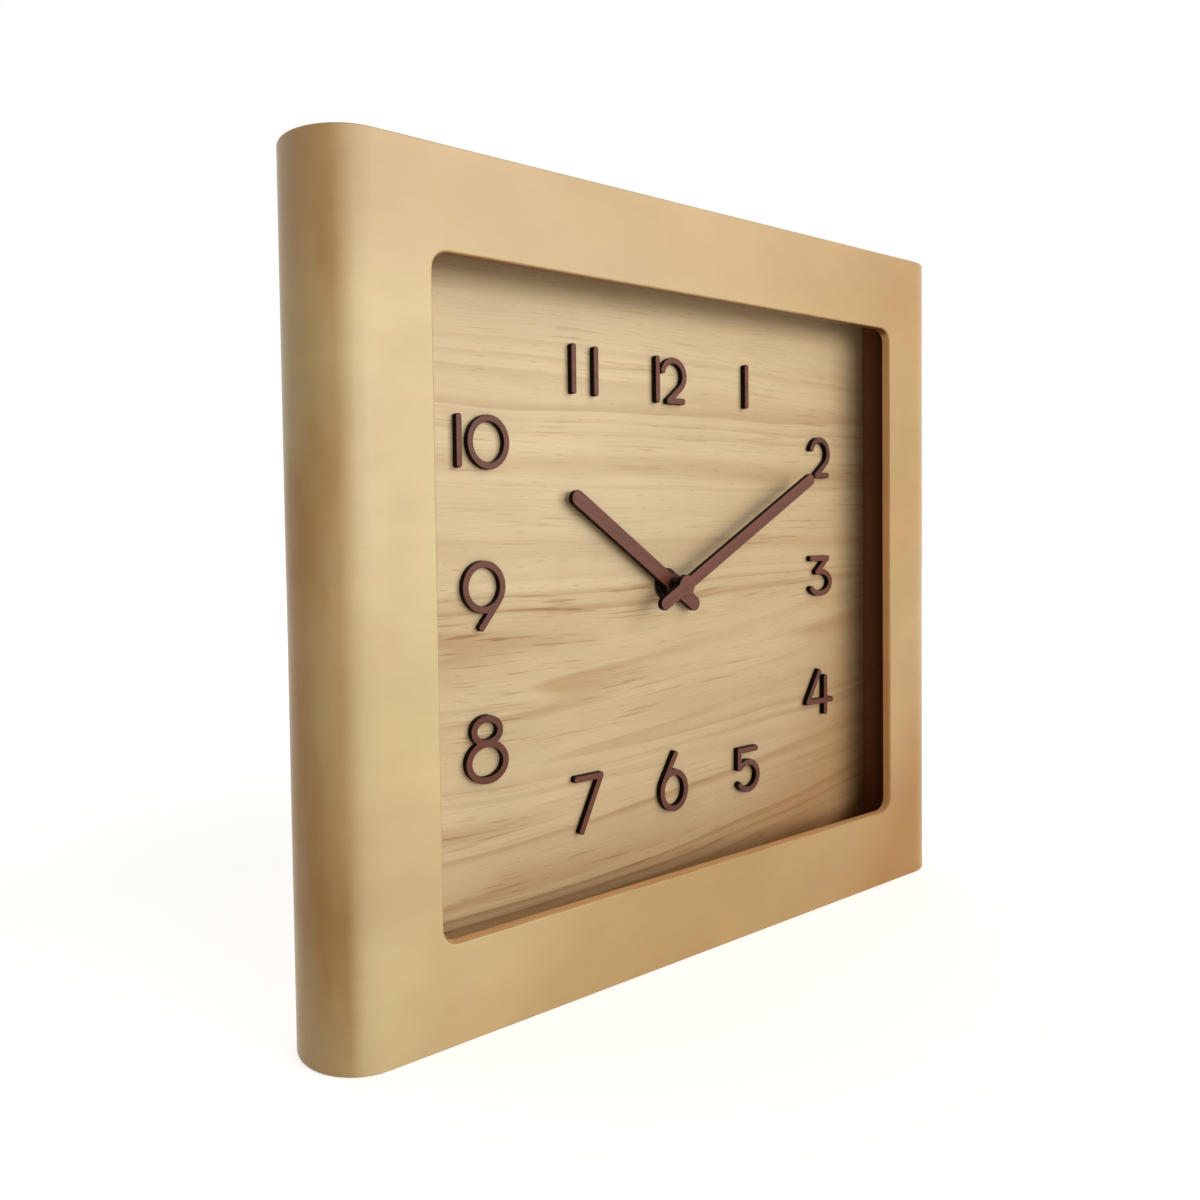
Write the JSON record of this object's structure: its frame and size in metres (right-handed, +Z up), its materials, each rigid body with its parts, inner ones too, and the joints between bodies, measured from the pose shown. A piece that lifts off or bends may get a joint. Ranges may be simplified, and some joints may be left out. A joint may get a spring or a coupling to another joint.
{
  "type": "wooden wall clock",
  "caption": "Shallow wooden wall clock with half-round sides, a recessed dial with raised dark wooden numerals, two bar hands and a battery quartz movement behind.",
  "frame": {"origin": "middle of the case's bounding box; the axis of the hands runs along Y, 0.8 mm to the left of it and 0.85 mm below it", "axes": "+X to the right as seen from the front, +Y from the front into the wall, +Z up"},
  "size_m": [0.34, 0.042, 0.3],
  "materials": {
    "case_wood": "satin, fine grain that runs round the sides",
    "dial_wood": "satin veneer with brown streaks",
    "frame_wood": "plain sawn softwood",
    "dark_wood": "stained walnut, satin",
    "steel": "zinc plated",
    "brass": "plain",
    "rubber": "matt black",
    "black_plastic": "moulded, fine texture",
    "white_plastic": "moulded",
    "copper_wire": "enamelled copper winding",
    "circuit_resin": "green laminate",
    "battery_jacket": "plain film jacket"
  },
  "bodies": {
    "clock_case": {"case_shell": "case_wood", "top_board": "case_wood", "bottom_board": "case_wood", "top_rail": "frame_wood", "bottom_rail": "frame_wood", "left_rail": "frame_wood", "right_rail": "frame_wood", "hanger_batten": "frame_wood", "dial_board": "dial_wood", "numeral_1": "dark_wood", "numeral_2": "dark_wood", "numeral_3": "dark_wood", "numeral_4": "dark_wood", "numeral_5": "dark_wood", "numeral_6": "dark_wood", "numeral_7": "dark_wood", "numeral_8": "dark_wood", "numeral_9": "dark_wood", "numeral_10_one": "dark_wood", "numeral_10_zero": "dark_wood", "numeral_11_left": "dark_wood", "numeral_11_right": "dark_wood", "numeral_12_one": "dark_wood", "numeral_12_two": "dark_wood", "dial_screw_1": "steel", "dial_screw_2": "steel", "dial_screw_3": "steel", "dial_screw_4": "steel", "keyhole_screw_left": "steel", "keyhole_screw_right": "steel", "keyhole_plate": "steel", "quartz_crystal": "steel", "battery_contact_positive": "steel", "battery_contact_negative": "steel", "stator": "steel", "coil_core": "steel", "fixing_nut": "brass", "fixing_washer": "brass", "rubber_washer": "rubber", "movement_case": "black_plastic", "movement_cover": "black_plastic", "mid_plate": "white_plastic", "coil": "copper_wire", "circuit_board": "circuit_resin", "battery": "battery_jacket"},
    "minute_hand_set": {"minute_hand": "dark_wood", "minute_hand_bush": "brass", "minute_shaft": "white_plastic"},
    "hour_hand_set": {"hour_hand": "dark_wood", "hour_hand_bush": "brass", "hour_wheel": "white_plastic"},
    "motion_wheel_set": {"motion_wheel": "white_plastic"},
    "setting_knob_set": {"setting_knob": "white_plastic"},
    "rotor_set": {"rotor": "steel"},
    "intermediate_wheel_set": {"intermediate_wheel": "white_plastic"},
    "seconds_wheel_set": {"seconds_wheel": "white_plastic"},
    "third_wheel_set": {"third_wheel": "white_plastic"},
    "centre_wheel_set": {"centre_wheel": "white_plastic"}
  },
  "joints": [
    {"name": "minute_turn", "type": "hinge", "parent": "clock_case", "child": "minute_hand_set", "pos_m": [-0.0008, 0, -0.00085], "axis": [0, 1, 0], "continuous": true},
    {"name": "hour_turn", "type": "hinge", "parent": "clock_case", "child": "hour_hand_set", "pos_m": [-0.0008, 0, -0.00085], "axis": [0, 1, 0], "continuous": true},
    {"name": "motion_turn", "type": "hinge", "parent": "clock_case", "child": "motion_wheel_set", "pos_m": [-0.00773, 0, -0.00485], "axis": [0, 1, 0], "continuous": true},
    {"name": "knob_turn", "type": "hinge", "parent": "clock_case", "child": "setting_knob_set", "pos_m": [-0.00912, 0, -0.01273], "axis": [0, 1, 0], "continuous": true},
    {"name": "rotor_turn", "type": "hinge", "parent": "clock_case", "child": "rotor_set", "pos_m": [0.01035, 0, 0.00217], "axis": [0, 1, 0], "continuous": true},
    {"name": "intermediate_turn", "type": "hinge", "parent": "clock_case", "child": "intermediate_wheel_set", "pos_m": [0.00484, 0, 0.0012], "axis": [0, 1, 0], "continuous": true},
    {"name": "seconds_turn", "type": "hinge", "parent": "clock_case", "child": "seconds_wheel_set", "pos_m": [-0.0008, 0, -0.00085], "axis": [0, 1, 0], "continuous": true},
    {"name": "third_turn", "type": "hinge", "parent": "clock_case", "child": "third_wheel_set", "pos_m": [0.00149, 0, -0.00939], "axis": [0, 1, 0], "continuous": true},
    {"name": "centre_wheel_turn", "type": "hinge", "parent": "clock_case", "child": "centre_wheel_set", "pos_m": [-0.0008, 0, -0.00085], "axis": [0, 1, 0], "continuous": true}
  ],
  "couplings": [
    {"joint": "hour_turn", "follows": "minute_turn", "ratio": 0.083333},
    {"joint": "motion_turn", "follows": "minute_turn", "ratio": -0.33333},
    {"joint": "knob_turn", "follows": "minute_turn", "ratio": 1},
    {"joint": "intermediate_turn", "follows": "rotor_turn", "ratio": -0.16667},
    {"joint": "seconds_turn", "follows": "rotor_turn", "ratio": 0.033333},
    {"joint": "third_turn", "follows": "rotor_turn", "ratio": -0.0041667},
    {"joint": "centre_wheel_turn", "follows": "rotor_turn", "ratio": 0.00055556}
  ]
}
